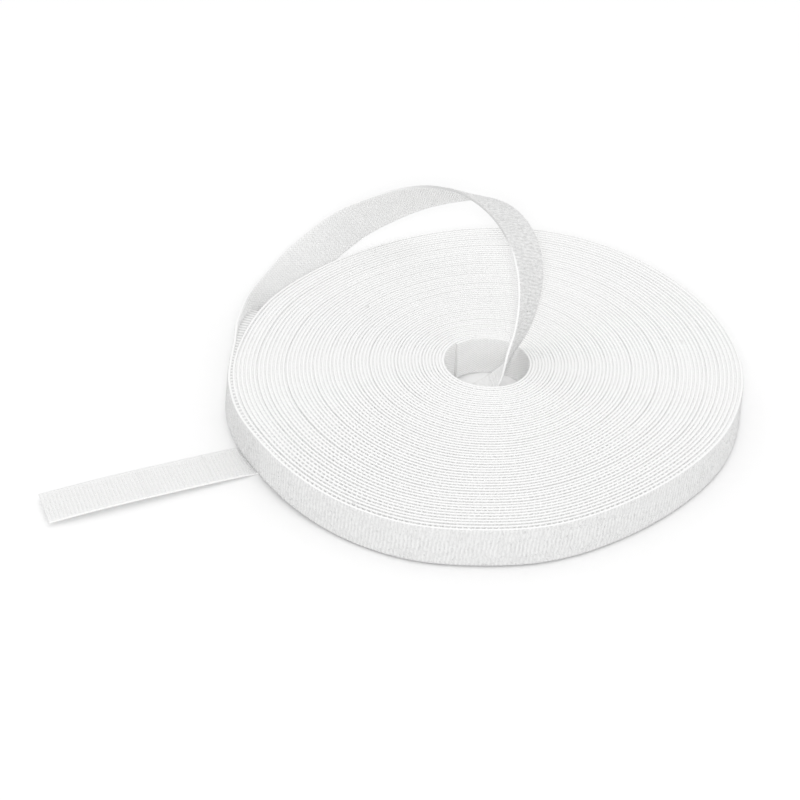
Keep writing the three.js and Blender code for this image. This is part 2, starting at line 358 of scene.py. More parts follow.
def selvedge_finish(name, shaded_stretch=None, side=1.0, grey=1.0):
    """Plain weave along each edge. A stretch of the edge on one side can carry painted shade."""
    blank = new_material(name)
    start = blank[2]
    along, across = tape_coordinates(start)
    pick = wave(start, along + across * PICK_LEAN, RIB_PITCH / 2)
    base = mix(start, pick * 0.5 + 0.5, *[nylon(white) for white in WEAVE_WHITES])
    if shaded_stretch is not None:
        low, high = shaded_stretch
        # The given stretch of the edge on one side is painted darker, as painted shade
        begins = along.smooth(low - EDGE_SHADE_BEFORE, low)
        there = begins * (1.0 - along.smooth(high, high + EDGE_SHADE_AFTER))
        there = there * (across * side).smooth(-1.0, 1.0)
        base = mix(start, there, base, nylon(grey))
    return principled(blank, base, roughness=0.65, height=pick, strength=0.3, distance=0.0002)


def pile_finish():
    """The pile's map counts 0 on a rib to 1 in a hole, which is painted darker as painted shade, since
    little light gets in there.
    """
    blank = new_material("pressed_pile_painted_shade")
    start = blank[2]
    hole = tape_coordinates(start)[1]
    base = mix(start, hole.smooth(*HOLE_SHADE_RANGE), nylon(RIB_WHITE), nylon(HOLE_PAINTED_SHADE))
    return principled(blank, base, roughness=0.9)


# Stretches of the hook face painted whiter, as painted light, in millimetres along the tape, on the free
# tape and in the bore
FREE_PAINTED_LIGHT = [(0.0, 115.0), (385.0, 430.0)]
BORE_PAINTED_LIGHT_STRETCHES = [(50.0, 80.0)]
# A stretch of the free tape's edge that was uppermost in the roll, painted darker as painted shade
FREE_EDGE_SHADE = (290.0, 333.0)
# The whole length, for the rim's lower edge, which carries a painted contact shadow
SHADED_ALL_ALONG = (-100.0, 10000.0)
# The hook face's darker grey is painted shade between the hooks, mixed with a random grain
HOOK_FACE = hook_finish("hook_face", shade_and_grain_grey=0.77, contrast=0.27, painted_light_stretches=FREE_PAINTED_LIGHT)
# The bore's copy of the hook face is painted lighter, as painted light, with stronger painted shade between
# its hooks
BORE_FACE_PAINTED_LIGHT = hook_finish("bore_face_painted_light", shade_and_grain_grey=0.84, contrast=0.8, painted_light_stretches=BORE_PAINTED_LIGHT_STRETCHES)
LOOP_FACE = loop_finish("loop_face", regular=0.07, streaky=1.0, dark=0.67)
WOUND_LOOP_FACE = loop_finish("loop_face_wound", regular=0.11, streaky=0.4, dark=0.74)
SELVEDGE = selvedge_finish("selvedge")
FREE_SELVEDGE_SHADED = selvedge_finish("selvedge_free_painted_shade", FREE_EDGE_SHADE, side=1.0, grey=0.66)
# The rim's lower edge is painted dark all along, as a painted contact shadow where it meets the floor
RIM_SELVEDGE_SHADOWED = selvedge_finish("selvedge_rim_painted_shadow", SHADED_ALL_ALONG, side=-1.0, grey=0.35)
PILE = pile_finish()
# The cut inner end is painted grey, as painted shade where it faces away from the light
CUT_END = principled(new_material("cut_end_painted_shade"), nylon(CUT_END_PAINTED_SHADE), roughness=0.9)

# The finishes of a ribbon, in this order
ON_LOOP_FACE, ON_HOOK_FACE, ON_EDGE, ON_END = range(4)
TAPE_FINISHES = [LOOP_FACE, HOOK_FACE, SELVEDGE, SELVEDGE]
FREE_FINISHES = [LOOP_FACE, HOOK_FACE, FREE_SELVEDGE_SHADED, SELVEDGE]
RIM_FINISHES = [WOUND_LOOP_FACE, HOOK_FACE, RIM_SELVEDGE_SHADOWED, SELVEDGE]
BORE_FINISHES = [LOOP_FACE, BORE_FACE_PAINTED_LIGHT, SELVEDGE, CUT_END]
print("finishes", sorted({made.name for made in (*RIM_FINISHES, *BORE_FINISHES, FREE_SELVEDGE_SHADED, PILE)}))

# %% [markdown]
# ## Floor and light
# The object lies on a plain white floor. The light is a bright even room, a broad lamp behind the roll,
# whose shadow falls to the front, and one from the viewer's side that reaches into the bore.
# White tape passes light on many times before it dies out, in the bore most of all, so more bounces are
# followed than Blender does by itself.
# The floor adds a little white of its own for the camera, which leaves only the shadow by the tape.

# %% Floor, world and lamps
FLOOR_SIZE = 30.0
FLOOR_WHITE = (0.93, 0.93, 0.93, 1.0)
FLOOR_GLOW = 0.06
PURE_WHITE = (1.0, 1.0, 1.0, 1.0)
WORLD_LEVEL = 0.82
SUN_LEVEL = 0.45
SUN_SPREAD = np.radians(120.0)
SUN_LEAN = np.radians(-45.0)
VIEWER_LEVEL = 8.0
VIEWER_SIZE = 0.08
LIGHT_BOUNCES = 12


def looked_at(start):
    """1 for what the camera sees by itself, in a mirror or through glass, and 0 for light on its way."""
    camera_ray, mirrored, through = (
        start.node("ShaderNodeLightPath", {}, {}, f"Is {kind} Ray")
        for kind in ("Camera", "Glossy", "Transmission")
    )
    return start.maths("MINIMUM", camera_ray + mirrored + through, 1.0)


def floor_finish():
    made, output, start = new_material("floor_white")
    lit = start.node("ShaderNodeBsdfDiffuse", {}, {"Color": FLOOR_WHITE})
    glow = start.node("ShaderNodeEmission", {}, {"Color": PURE_WHITE, "Strength": FLOOR_GLOW})
    both = start.node("ShaderNodeAddShader", {}, {0: lit, 1: glow})
    mixed = start.node("ShaderNodeMixShader", {}, {0: looked_at(start), 1: lit, 2: both})
    start.tree.links.new(mixed.output, output.inputs["Surface"])
    return made


bpy.ops.mesh.primitive_plane_add(size=FLOOR_SIZE, location=(0.0, 0.0, 0.0))
floor = bpy.context.object
floor.name = "floor"
floor.data.materials.append(floor_finish())

world = bpy.data.worlds.new("room")
scene.world = world
world.use_nodes = True
room = world.node_tree.nodes["Background"]
sky = Socket(world.node_tree, None)
level = looked_at(sky) * (1.0 - WORLD_LEVEL) + WORLD_LEVEL
world.node_tree.links.new(level.output, room.inputs["Strength"])
room.inputs["Color"].default_value = PURE_WHITE


def add_lamp(name, kind, energy):
    lamp = bpy.data.objects.new(name, bpy.data.lights.new(name, kind))
    scene.collection.objects.link(lamp)
    lamp.data.energy = energy
    return lamp


behind = add_lamp("lamp_behind", "SUN", SUN_LEVEL)
behind.data.angle = SUN_SPREAD
behind.rotation_euler = (SUN_LEAN, 0.0, 0.0)

# The viewer's lamp doesn't fall off with distance: its strength comes from its own nodes
viewer = add_lamp("lamp_viewer", "POINT", 1.0)
viewer.location = camera.location
viewer.data.shadow_soft_size = VIEWER_SIZE
viewer.data.use_nodes = True
bulb = Socket(viewer.data.node_tree, None)
even = bulb.node("ShaderNodeLightFalloff", {}, {"Strength": VIEWER_LEVEL}, "Constant")
emission = viewer.data.node_tree.nodes["Emission"]
viewer.data.node_tree.links.new(even.output, emission.inputs["Strength"])
scene.cycles.diffuse_bounces = LIGHT_BOUNCES
print("floor", FLOOR_SIZE, "m wide, lit by the room and by", behind.name, "and", viewer.name)

# %% [markdown]
# ## The way the tape runs
# In the roll the tape follows a spiral, clockwise from the bore as seen from above. Where the roll lies
# over the strap, its turns rise by the strap's thickness and sink back to the floor on either side.
# The outermost turns, and a little the innermost ones, stand clear of the floor. Every turn wavers by a
# twentieth of a millimetre or so, as a wound tape does.
# After the rim, the tape follows listed points. Each point has the direction to the edge that is
# uppermost in the roll, and a smooth curve runs through both.

# %% Spiral and lift
LIFT_FLAT = 12.0
LIFT_RUN = 48.0
LIFT_START = -14.0
LIFT_FULL = 16.0
BED_GAP = 0.3
RIM_STANDS = 0.7
RIM_STANDS_FROM = TURNS - 14.0
RIM_STANDS_FULLY = TURNS - 1.5
BORE_STANDS = 0.25
BORE_STANDS_FROM = 2.6
BORE_STANDS_FULLY = 1.1
WAVER_OUT = 0.05
WAVER_UP = 0.06
WAVER_RATES = (0.31, 0.77, 1.37, 2.21, 3.63)
WAVER_SHARES = (0.5, 1.0)
SETTLE_FROM = TURNS - 0.4
SETTLE_BY = TURNS - 0.05


def ease(value, low, high):
    share = np.clip((value - low) / (high - low), 0.0, 1.0)
    return share * share * (3.0 - 2.0 * share)


def lift_over_strap(at):
    along = at[..., 0] * STRAP_WAY[0] + at[..., 1] * STRAP_WAY[1]
    off = at - STRAP_START
    across = np.abs(off[..., 0] * STRAP_WAY[1] - off[..., 1] * STRAP_WAY[0])
    flat = TAPE_WIDTH / 2 + LIFT_FLAT
    rise = (1.0 - ease(across, flat, flat + LIFT_RUN)) * ease(along, LIFT_START, LIFT_FULL)
    return (TAPE_THICKNESS + BED_GAP) * rise


def roll_point(radius, angle):
    """A place in the roll. Towards the bore the turns shift with it, towards the rim they wander."""
    share = np.clip((radius - BORE_RADIUS) / (RIM_RADIUS - BORE_RADIUS), 0.0, None)
    out = wander(angle) * share**WANDER_FADE
    return polar(radius + out, angle) + BORE_SHIFT * (1.0 - np.asarray(share)[..., None])


def waver(turn, seed, height, rates=WAVER_RATES):
    """A slow wander along the tape, the same on every run, from waves with so many crests to a turn."""
    dice = np.random.default_rng(seed)
    total = np.zeros_like(turn)
    for rate in rates:
        total += np.sin(2 * np.pi * (rate * turn + dice.random())) * dice.uniform(*WAVER_SHARES)
    return total * height / 2.0


def at_lengths(wanted, length, values):
    """Rows of values that are known at some lengths, found at others."""
    return np.stack([np.interp(wanted, length, column) for column in values.T], 1)


class Frames:
    """Places along the tape, with the ways along it, to its edge and out of its hook face."""

    def __init__(self, at, along, edge, length):
        self.at = at
        self.along = along / np.linalg.norm(along, axis=1)[:, None]
        edge = edge - self.along * np.sum(self.along * edge, 1)[:, None]
        self.edge = edge / np.linalg.norm(edge, axis=1)[:, None]
        self.hook_side = np.cross(self.along, self.edge)
        self.length = length

    def resampled(self, wanted):
        known = (self.at, self.along, self.edge)
        return Frames(*[at_lengths(wanted, self.length, values) for values in known], wanted)

    def even(self, step):
        """The same run at even steps."""
        count = max(2, int(round((self.length[-1] - self.length[0]) / step)) + 1)
        return self.resampled(np.linspace(self.length[0], self.length[-1], count))

    def between(self, low, high):
        """The run from one length to another, with both ends exact."""
        wanted = np.unique(np.concatenate([self.length, [low, high]]))
        return self.resampled(wanted[(wanted >= low) & (wanted <= high)])


def run_length(points):
    return np.concatenate([[0.0], np.cumsum(np.linalg.norm(np.diff(points, axis=0), axis=1))])


def settle(turn):
    """The waver dies out towards the end of the last turn, where the free tape takes over."""
    return 1.0 - ease(turn, SETTLE_FROM, SETTLE_BY)


def wound_radius(turn):
    return turn_radius(turn) + settle(turn) * waver(turn, seed=3, height=WAVER_OUT)


def wound_rise(turn, at):
    """How far a turn's lower edge is off the floor. The outermost and innermost stand clear of it."""
    outermost = ease(turn, RIM_STANDS_FROM, RIM_STANDS_FULLY)
    innermost = BORE_STANDS * ease(turn, BORE_STANDS_FROM, BORE_STANDS_FULLY)
    stand = RIM_STANDS * (outermost + innermost)
    return lift_over_strap(at) + stand + settle(turn) * waver(turn, seed=5, height=WAVER_UP)


def spiral(first, last, per_turn):
    count = int(round((last - first) * per_turn)) + 1
    turn = np.linspace(first, last, count)
    angle = INNER_END_ANGLE - 360.0 * turn
    at = roll_point(wound_radius(turn), angle)
    at[:, 2] = TAPE_WIDTH / 2 + wound_rise(turn, at)
    up = np.tile([0.0, 0.0, 1.0], (count, 1))
    return Frames(at, polar(np.ones(count), angle - 90.0), up, run_length(at))


# %% Route of the free tape


def at_rim(angle, out, up, edge):
    at = polar(RIM_RADIUS + wander(angle) + out, angle)
    at[2] = TAPE_WIDTH / 2 + lift_over_strap(at) + RIM_STANDS + up
    return at, edge


def over_roll(x, y, up, edge):
    return (x, y, TAPE_WIDTH + up), edge


def in_bore(x, y, z, edge):
    return np.array([x * BORE_RADIUS, y * BORE_RADIUS, z]) + BORE_SHIFT, edge


def on_floor(x, y):
    return (x, y, TAPE_THICKNESS / 2), (-STRAP_WAY[1], STRAP_WAY[0], 0.0)


def along_tail(length, side, up):
    return TAIL_START + length * TAIL_WAY + np.array([0.0, -side, up]), TAIL_EDGE


ROUTE = [
    at_rim(OUTER_END_ANGLE + 10, 0, 0, (0, 0, 1)),
    at_rim(OUTER_END_ANGLE, 0, 0, (0, 0, 1)),
    at_rim(202, 0.7, 0, (0.04, 0, 1)),
    at_rim(191, 1.1, 0, (0.09, 0.01, 1)),
    at_rim(182, 1.2, 0, (0.1, 0, 1)),
    at_rim(175, 1.7, -0.2, (0.02, 0, 1)),
    at_rim(167, 3.3, -0.25, (-0.21, 0.06, 0.98)),
    at_rim(157, 5.9, 0.3, (-0.42, 0.15, 0.89)),
    at_rim(146, 9.9, 1.0, (-0.66, 0.29, 0.69)),
    at_rim(141, 14, 0.6, (-0.69, 0.28, 0.66)),
    at_rim(136, 17.4, 1.4, (-0.7, 0.26, 0.66)),
    at_rim(131, 18.6, 4.7, (-0.69, 0.21, 0.69)),
    at_rim(126.5, 17.3, 10.3, (-0.66, 0.1, 0.74)),
    at_rim(123, 13.3, 16.8, (-0.63, -0.03, 0.77)),
    over_roll(-56, 99.4, 14.2, (-0.64, -0.13, 0.76)),
    over_roll(-39, 91.2, 27.4, (-0.67, -0.25, 0.7)),
    over_roll(-22.6, 79.5, 38.9, (-0.7, -0.34, 0.63)),
    over_roll(-7.2, 65, 47.8, (-0.74, -0.46, 0.49)),
    over_roll(0.2, 56.4, 50.4, (-0.75, -0.53, 0.41)),
    over_roll(7.2, 47.1, 50.8, (-0.74, -0.56, 0.37)),
    over_roll(13.3, 37.6, 48.6, (-0.72, -0.58, 0.38)),
    over_roll(18, 28.5, 43.4, (-0.67, -0.61, 0.42)),
    over_roll(20.4, 20.3, 35.5, (-0.58, -0.66, 0.47)),
    over_roll(20.3, 13.4, 25.7, (-0.47, -0.74, 0.49)),
    over_roll(18, 7.8, 15.2, (-0.35, -0.8, 0.48)),
    over_roll(13.8, 3, 5.2, (-0.23, -0.87, 0.43)),
    in_bore(0.43, 0.09, 16, (-0.06, -0.93, 0.36)),
    in_bore(0.1, -0.05, 8.2, (0.17, -0.95, 0.24)),
    in_bore(-0.3, -0.22, 2.3, (0.37, -0.93, 0.05)),
    on_floor(STRAP_START[0], STRAP_START[1]),
    on_floor(-40, -23.7),
    on_floor(-72, -38.6),
    on_floor(STRAP_EXIT[0], STRAP_EXIT[1]),
    along_tail(0.0, 0.4, 0.8),
    along_tail(30.0, 1.4, 2.0),
    along_tail(60.0, 2.2, 2.6),
    along_tail(TAIL_LENGTH, 2.2, 1.6),
]
# Where on the route the tape leaves the roll, is down in the bore and becomes the tail
TAPE_LEAVES_ROLL = 1
DOWN_IN_BORE = 27
TAIL_BEGINS = len(ROUTE) - 4
ROUTE_SAMPLES = 48


def smooth_curve(points, samples, even_knots):
    """A curve through points: even knots, or knots spaced by the root of the distance between points."""
    points = np.array(points, float)
    ends = [2 * points[0] - points[1], 2 * points[-1] - points[-2]]
    padded = np.concatenate([ends[:1], points, ends[1:]])
    share = np.linspace(0.0, 1.0, samples, endpoint=False)[:, None]
    pieces = []
    for k in range(len(points) - 1):
        before, start, end, after = padded[k:k + 4]
        gaps = np.sqrt(np.linalg.norm(np.diff(padded[k:k + 4], axis=0), axis=1))
        if even_knots:
            gaps = np.ones(3)
        leave = (start - before) / gaps[0] - (end - before) / (gaps[0] + gaps[1]) + (end - start) / gaps[1]
        arrive = (end - start) / gaps[1] - (after - start) / (gaps[1] + gaps[2]) + (after - end) / gaps[2]
        leave, arrive = leave * gaps[1], arrive * gaps[1]
        cubic = 2 * start - 2 * end + leave + arrive
        square = -3 * start + 3 * end - 2 * leave - arrive
        pieces.append(start + leave * share + square * share**2 + cubic * share**3)
    return np.concatenate([*pieces, points[-1:]])


route_at = smooth_curve([row[0] for row in ROUTE], ROUTE_SAMPLES, False)
route_edge = smooth_curve([row[1] for row in ROUTE], ROUTE_SAMPLES, True)
lying = route_at[:, 2] <= TAPE_THICKNESS / 2
route_at[lying, 2] = TAPE_THICKNESS / 2
route_edge[lying, 2] = 0.0
route = Frames(route_at, np.gradient(route_at, axis=0), route_edge, run_length(route_at))
leaves_roll_at = route.length[TAPE_LEAVES_ROLL * ROUTE_SAMPLES]
down_in_bore_at = route.length[DOWN_IN_BORE * ROUTE_SAMPLES]
tail_begins_at = route.length[TAIL_BEGINS * ROUTE_SAMPLES]
print("free tape with its tail in mm", round(float(route.length[-1] - leaves_roll_at), 1))
print("length at each point of the route", route.length[::ROUTE_SAMPLES].round().astype(int).tolist())

# %% [markdown]
# ## Ribbons
# A ribbon is a section of the tape carried along its frames. The section is a flat loop of points: the
# loop face, a rounded edge, the hook face, and the other edge. The faces get their relief here, in the
# mesh: crosswise ribs on the hook face, softer rows on the loop face, and a plain bead at each edge.

# %% Mesh from arrays


def add_mesh(name, points, quads, corners, finishes, face_finish, closing):
    """A mesh object, in the frame, from points in the roll's millimetres. corners are map places."""
    mesh = bpy.data.meshes.new(name)
    faces = np.concatenate([quads.reshape(-1), *[np.asarray(c) for c in closing]]).astype(np.int32)
    sizes = np.concatenate([np.full(len(quads), 4), [len(c) for c in closing]]).astype(np.int32)
    mesh.vertices.add(len(points))
    mesh.vertices.foreach_set("co", ((points + ROLL_AXIS) * MM).astype(np.float32).reshape(-1))
    mesh.loops.add(len(faces))
    mesh.loops.foreach_set("vertex_index", faces)
    mesh.polygons.add(len(sizes))
    mesh.polygons.foreach_set("loop_start", (np.cumsum(sizes) - sizes).astype(np.int32))
    mesh.polygons.foreach_set("material_index", face_finish.astype(np.int32))
    mesh.polygons.foreach_set("use_smooth", np.arange(len(sizes)) < len(quads))
    if corners is not None:
        layer = mesh.uv_layers.new(name="tape")
        layer.data.foreach_set("uv", corners.astype(np.float32).reshape(-1))
    for finish in finishes:
        mesh.materials.append(finish)
    mesh.update(calc_edges=True)
    mesh.validate()
    made = bpy.data.objects.new(name, mesh)
    scene.collection.objects.link(made)
    return made


def tube_faces(count, ring, turned_over=False):
    """The faces along a row of rings of points, and the two that close its ends."""
    step, corner = np.meshgrid(np.arange(count - 1), np.arange(ring), indexing="ij")
    after = (corner + 1) % ring
    here, there = step * ring, (step + 1) * ring
    quads = np.stack([here + corner, here + after, there + after, there + corner], -1).reshape(-1, 4)
    first, last = np.arange(ring)[::-1], (count - 1) * ring + np.arange(ring)
    if turned_over:
        return quads[:, [0, 3, 2, 1]], first[::-1], last[::-1]
    return quads, first, last


def tell(pieces):
    print("made", ", ".join(f"{piece.name} ({len(piece.data.polygons)} faces)" for piece in pieces))


# %% Ribbon along its frames
BASE_THICKNESS = 1.0
FACE_EDGE = 9.75
EDGE_BEND = np.radians([-50.0, 0.0, 50.0])
SELVEDGE_WIDTH = 0.3
RIB_HEIGHT = 0.07
NAP_HEIGHT = 0.012
NAP_SWAY = 0.5
NAP_SWAY_RATE = 0.7
EDGE_SCALLOP = 0.07
# Relief fades out between these distances inside and outside the selvedge's own line
RELIEF_INSIDE = 0.5
RELIEF_OUTSIDE = 0.2


def section(columns):
    """The tape's section as places across, places up and the finish of the face after each point."""
    half, face = BASE_THICKNESS / 2, np.linspace(-FACE_EDGE, FACE_EDGE, columns)
    side_across = FACE_EDGE + (TAPE_WIDTH / 2 - FACE_EDGE) * np.cos(EDGE_BEND)
    side_up = half * np.sin(EDGE_BEND)
    across = np.concatenate([face, side_across, face[::-1], -side_across])
    up = np.concatenate([np.full(columns, -half), side_up, np.full(columns, half), -side_up])
    plain = np.abs((across + np.roll(across, -1)) / 2) > TAPE_WIDTH / 2 - SELVEDGE_WIDTH
    finish = np.where(plain, ON_EDGE, np.where(up < 0, ON_LOOP_FACE, ON_HOOK_FACE))
    return across, up, finish


def relief(frames, across, up):
    """How far each point of the tape's faces stands out of the plain section."""
    line = TAPE_WIDTH / 2 - SELVEDGE_WIDTH
    inside = ease(np.abs(across), line + RELIEF_OUTSIDE, line - RELIEF_INSIDE)
    beat = 2 * np.pi * frames.length[:, None] / RIB_PITCH
    ribs = RIB_HEIGHT * np.cos(beat)
    nap = NAP_HEIGHT * np.cos(beat + NAP_SWAY * np.sin(across * NAP_SWAY_RATE))
    return inside * np.where(up > 0, ribs, nap) * np.sign(up)


def ribbon(name, frames, columns=2, shaped=True, finishes=TAPE_FINISHES):
    across, up, finish = section(columns)
    count, ring = len(frames.at), len(across)
    rise = np.broadcast_to(up, (count, ring))
    reach = np.broadcast_to(across, (count, ring))
    if shaped:
        rise = rise + relief(frames, across, up)
        scallop = EDGE_SCALLOP * np.cos(2 * np.pi * frames.length / RIB_PITCH) - EDGE_SCALLOP
        reach = reach + np.sign(across) * (np.abs(across) > FACE_EDGE) * scallop[:, None]
    points = (
        frames.at[:, None, :]
        + frames.edge[:, None, :] * reach[:, :, None]
        + frames.hook_side[:, None, :] * rise[:, :, None]
    )
    quads, first, last = tube_faces(count, ring)
    places = np.stack(np.broadcast_arrays(frames.length[:, None], across[None, :]), -1).reshape(-1, 2) * MM
    corners = np.concatenate([places[quads.reshape(-1)], places[first], places[last]])
    face_finish = np.concatenate([np.tile(finish, count - 1), [ON_END, ON_END]])
    made = add_mesh(name, points.reshape(-1, 3), quads, corners, finishes, face_finish, [first, last])
    made["tape_length"] = float(frames.length[-1] - frames.length[0])
    return made


# %% [markdown]
# ## The wound turns
# Only the edges of most turns show, so they are plain ribbons. The innermost turn shows its hook face in
# the bore and the outermost its loop face on the rim, so those two carry their relief.

# %% Turns of the roll
BORE_TURN_STARTS = 0.008
BORE_TURN_ENDS = 1.1
WRAP_BEGINS = TURNS - 1.08
TURN_STEPS = 180
FINE_STEP = 0.4
FINE_COLUMNS = 22

bore_run = spiral(BORE_TURN_STARTS, BORE_TURN_ENDS, TURN_STEPS)
bore_turn = ribbon("bore_turn", bore_run.even(FINE_STEP), FINE_COLUMNS, finishes=BORE_FINISHES)
inner_coil = ribbon("inner_coil", spiral(BORE_TURN_ENDS, CORE_TURNS, TURN_STEPS), shaped=False)
middle_turn = (CORE_TURNS + WRAP_BEGINS) / 2
outer_coil = ribbon("outer_coil", spiral(CORE_TURNS, middle_turn, TURN_STEPS), shaped=False)
rim_coil = ribbon("rim_coil", spiral(middle_turn, WRAP_BEGINS, TURN_STEPS), shaped=False)
wrap_run = spiral(WRAP_BEGINS, TURNS, TURN_STEPS)
outer_wrap = ribbon("outer_wrap", wrap_run.even(FINE_STEP), FINE_COLUMNS, finishes=RIM_FINISHES)
wound = [bore_turn, inner_coil, outer_coil, rim_coil, outer_wrap]
tell(wound)

# %% [markdown]
# ## Pressed pile
# The holes are also painted darker than the ribs, as painted shade.
# Between the turns, hooks and loops are pressed into each other a little below the edges, so a bumpy
# strip fills each gap, high on a rib and low in a hole by turns. The photograph shows rows of grey dashes
# at the front and plain dark grooves at the sides. So the holes are open at the front, and elsewhere they
# close and the whole strip lies lower, most at the sides. Some turns are wound more loosely than others:
# a slow waver sinks the strip there and gives the few darker lines.
# Each strip meets the next one under the arch, which hides the cut.

# %% Pile between the turns
PILE_PITCH = 2.45
HOLE_BEAT = np.array([0.0, 0.7, 1.0, 0.7])
PILE_STEP = PILE_PITCH / len(HOLE_BEAT)
HOLE_ACROSS = np.array([0.75, 1.0, 0.75])
HOLE_SPREAD = (0.85, 1.05)
HOLE_DEPTH = 1.0
PILE_TOP = 0.06
PILE_BOTTOM = 1.0
PILE_ROUGHNESS = 0.03
PILE_OVERLAP = 0.05
PILE_SQUEEZE = 0.5
GROOVE_DEPTH = 0.8
GROOVE_RATES = (0.27, 0.41, 0.83)
# Where the front of the roll fades out, as the sine of the angle about its axis
FRONT_FADES_FROM = -0.9
FRONT_FADES_TO = -0.3
HOLES_CLOSE = 0.68
REAR_SINK = 0.36
SIDE_SINK = 0.3
PILE_CUTS = np.array([0.01, 21.2, 34.19, 46.18, TURNS - 1.0])
PILE_SEED = 20
# The strip's section, as shares of the way across: three points on top, then two at the bottom
STRIP_SHARES = (0.0, 0.5, 1.0, 1.0, 0.0)


def pile_strip(name, inner, outer, top, bottom, length, seed, depth, holes=1.0):
    """A strip from one turn's face to the next one's, with ribs and holes by turns along its top."""
    count, on_top = len(length), len(HOLE_ACROSS)
    dice = np.random.default_rng(seed)
    hole = np.tile(HOLE_BEAT, count // len(HOLE_BEAT) + 1)[:count, None] * HOLE_ACROSS
    hole = hole * dice.uniform(*HOLE_SPREAD, (count, 1)) * np.reshape(holes, (-1, 1))
    drop = (PILE_TOP + HOLE_DEPTH * hole) * np.reshape(depth, (-1, 1))
    drop = drop + dice.normal(0.0, PILE_ROUGHNESS, drop.shape)
    columns = []
    for column, share in enumerate(STRIP_SHARES):
        at = inner + (outer - inner) * share
        at[:, 2] = top - drop[:, column] if column < on_top else bottom
        columns.append(at)
    points = np.stack(columns, 1)
    quads, first, last = tube_faces(count, len(STRIP_SHARES), turned_over=True)
    # The map's second place is how deep in a hole a point lies, which the pile's colour turns into painted
    # shade
    across = np.concatenate([hole, np.ones((count, len(STRIP_SHARES) - on_top))], 1)
    places = np.stack(np.broadcast_arrays(length[:, None], across), -1).reshape(-1, 2) * MM
    corners = np.concatenate([places[quads.reshape(-1)], places[first], places[last]])
    finish = np.zeros(len(quads) + 2)
    return add_mesh(name, points.reshape(-1, 3), quads, corners, [PILE], finish, [first, last])


def outer_face(turn, angle):
    return roll_point(wound_radius(turn) + BASE_THICKNESS / 2 - PILE_OVERLAP, angle)


def inner_face(turn, angle):
    return roll_point(wound_radius(turn) - BASE_THICKNESS / 2 + PILE_OVERLAP, angle)


def wound_pile(name, first, last, seed):
    turn = np.linspace(first, last, int((last - first) * TURN_STEPS) + 1)
    way = run_length(roll_point(wound_radius(turn), INNER_END_ANGLE - 360.0 * turn))
    length = np.arange(0.0, way[-1] + PILE_STEP, PILE_STEP)
    turn = np.interp(length, way, turn)
    angle = INNER_END_ANGLE - 360.0 * turn
    around = np.radians(angle)
    inner = outer_face(turn, angle)
    rise = wound_rise(turn, inner)
    groove = np.clip(waver(turn, seed=8, height=GROOVE_DEPTH, rates=GROOVE_RATES), 0.0, None)
    depth = 1.0 - PILE_SQUEEZE * np.cos(2 * around)
    off_front = ease(np.sin(around), FRONT_FADES_FROM, FRONT_FADES_TO)
    holes = 1.0 - HOLES_CLOSE * off_front
    sink = off_front * (REAR_SINK + SIDE_SINK * np.cos(around) ** 2)
    top = TAPE_WIDTH + rise - groove * depth - sink
    bottom = PILE_BOTTOM + rise
    return pile_strip(name, inner, inner_face(turn + 1, angle), top, bottom, length, seed, depth, holes)


piles = [
    wound_pile(f"pile_{k}", first, last, PILE_SEED + k)
    for k, (first, last) in enumerate(zip(PILE_CUTS[:-1], PILE_CUTS[1:]))
]

# %% Pile where the free tape leaves the rim
LEAD_PILE_ENDS = 158.0
LEAD_PILE_SINKS = 6.0
LEAD_PILE_POWER = 5
LEAD_PILE_HIGH = 1.0
LEAD_PILE_DEPTH = 0.6
LEAD_PILE_SEED = 26
# The free tape leans, so the strip's far side is sought on its face at the strip's own height
LEAD_POINTS = 9
LEAD_ACROSS = np.linspace(-2.0, TAPE_WIDTH / 2, 13)
LEAD_OVERLAP = 0.1
LEAD_BELOW_TOP = 0.3


def lead_pile():
    """The pile goes on between the last turn and the free tape, and sinks as the two part."""
    angle = np.arange(OUTER_END_ANGLE, LEAD_PILE_ENDS, -np.degrees(PILE_STEP / RIM_RADIUS))
    turn = TURNS - 1.0 + (OUTER_END_ANGLE - angle) / 360.0
    inner = outer_face(turn, angle)
    gone = (OUTER_END_ANGLE - angle) / (OUTER_END_ANGLE - LEAD_PILE_ENDS)
    top = TAPE_WIDTH + wound_rise(turn, inner) - LEAD_PILE_SINKS * gone**LEAD_PILE_POWER
    part = slice(TAPE_LEAVES_ROLL * ROUTE_SAMPLES, (TAPE_LEAVES_ROLL + LEAD_POINTS) * ROUTE_SAMPLES)
    middle = route.at[part] + route.hook_side[part] * (BASE_THICKNESS / 2 - LEAD_OVERLAP)
    levels = []
    for across in LEAD_ACROSS:
        face = middle + route.edge[part] * across
        face_angle = np.degrees(np.arctan2(face[:, 1], face[:, 0])) % 360
        radius = np.hypot(face[:, 0], face[:, 1])
        levels.append([np.interp(-angle, -face_angle, values) for values in (face[:, 2], radius)])
    heights, radii = np.array(levels).transpose(1, 2, 0)
    sought = zip(top - LEAD_BELOW_TOP, heights, radii)
    outer = polar(np.array([np.interp(high, row, reach) for high, row, reach in sought]), angle)
    length = np.arange(len(angle)) * PILE_STEP
    bottom = top - LEAD_PILE_HIGH
    return pile_strip("pile_lead", inner, outer, top, bottom, length, LEAD_PILE_SEED, LEAD_PILE_DEPTH)


piles.append(lead_pile())
tell(piles)

# %% [markdown]
# ## The free tape and its tail
# The tape from the rim to the tail is one ribbon. The tail is cut into three between its hinges.

# %% Free tape and tail
TAIL_CUTS = (-6.0, 14.5, 44.0, TAIL_LENGTH)
TAIL_BODIES = ("roll", "tail_root", "tail_mid", "tail_tip")

